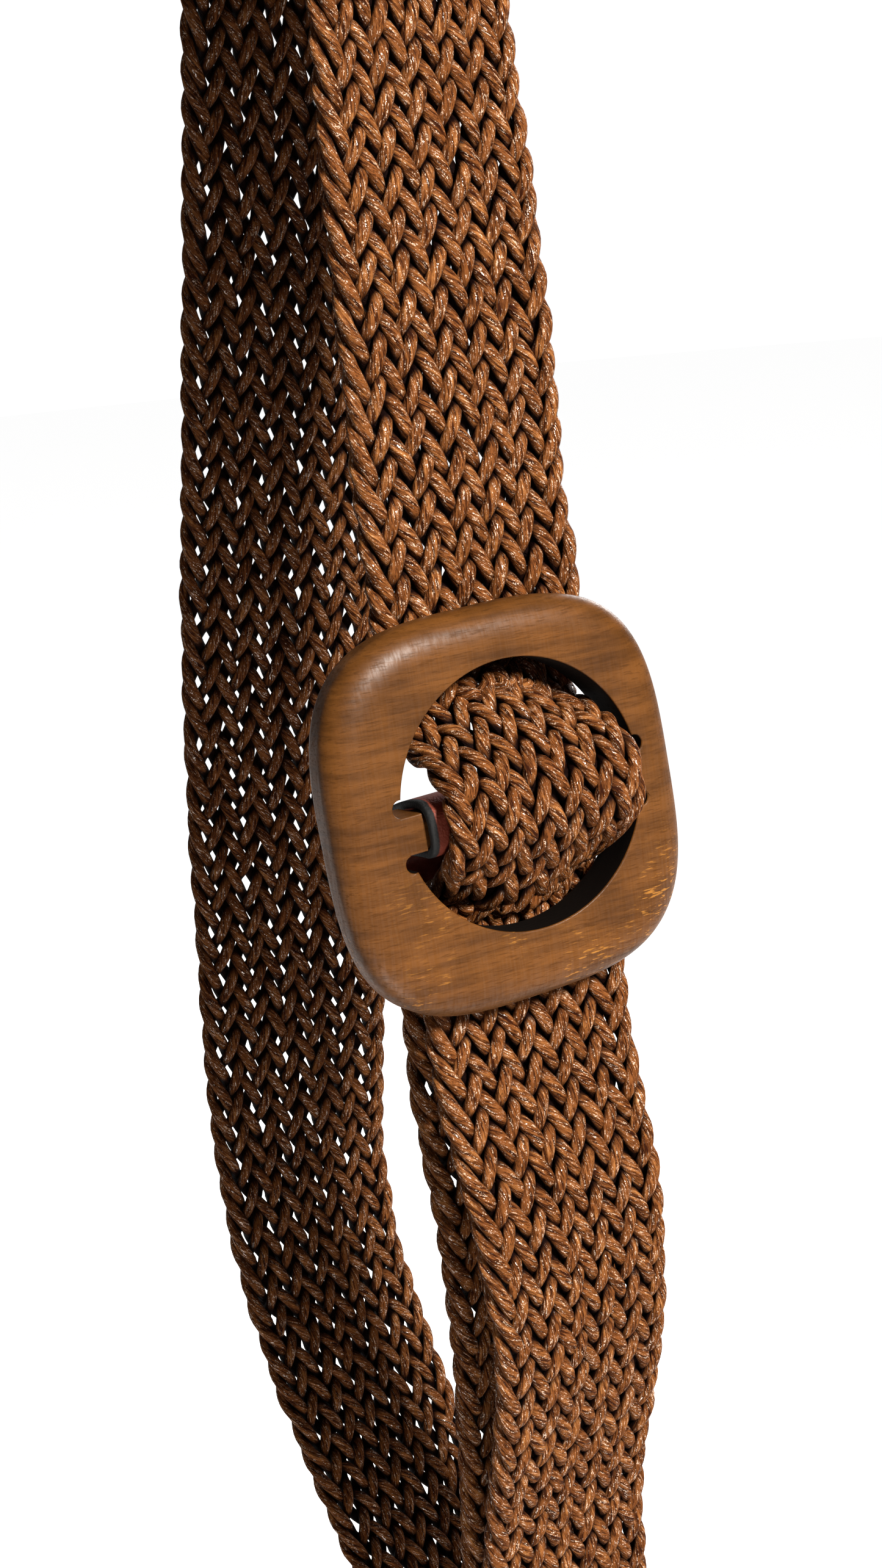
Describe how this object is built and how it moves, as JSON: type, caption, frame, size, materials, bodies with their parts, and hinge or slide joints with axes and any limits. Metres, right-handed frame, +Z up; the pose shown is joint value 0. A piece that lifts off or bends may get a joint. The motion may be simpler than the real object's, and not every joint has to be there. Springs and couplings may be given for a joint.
{
  "type": "braided rope belt",
  "caption": "Flat braided cord belt hung as a fastened loop, with a wooden slide buckle and a leather tab.",
  "frame": {"origin": "the point on the loop's inner face at its top, where the belt hangs", "axes": "X along the strap's width, -Y out of the buckle's face, +Z up"},
  "size_m": [0.0746, 0.1162, 0.445],
  "materials": {
    "waxed_cord": "waxed cotton cord, mid brown, matt with small wax glints",
    "oiled_wood": "oiled hardwood, satin, fine straight grain",
    "oxblood_leather": "oxblood leather, fine pebble grain, black painted edge"
  },
  "bodies": {
    "root": {"braided_strap": "waxed_cord", "buckle": "oiled_wood", "leather_tab": "oxblood_leather"}
  },
  "joints": []
}
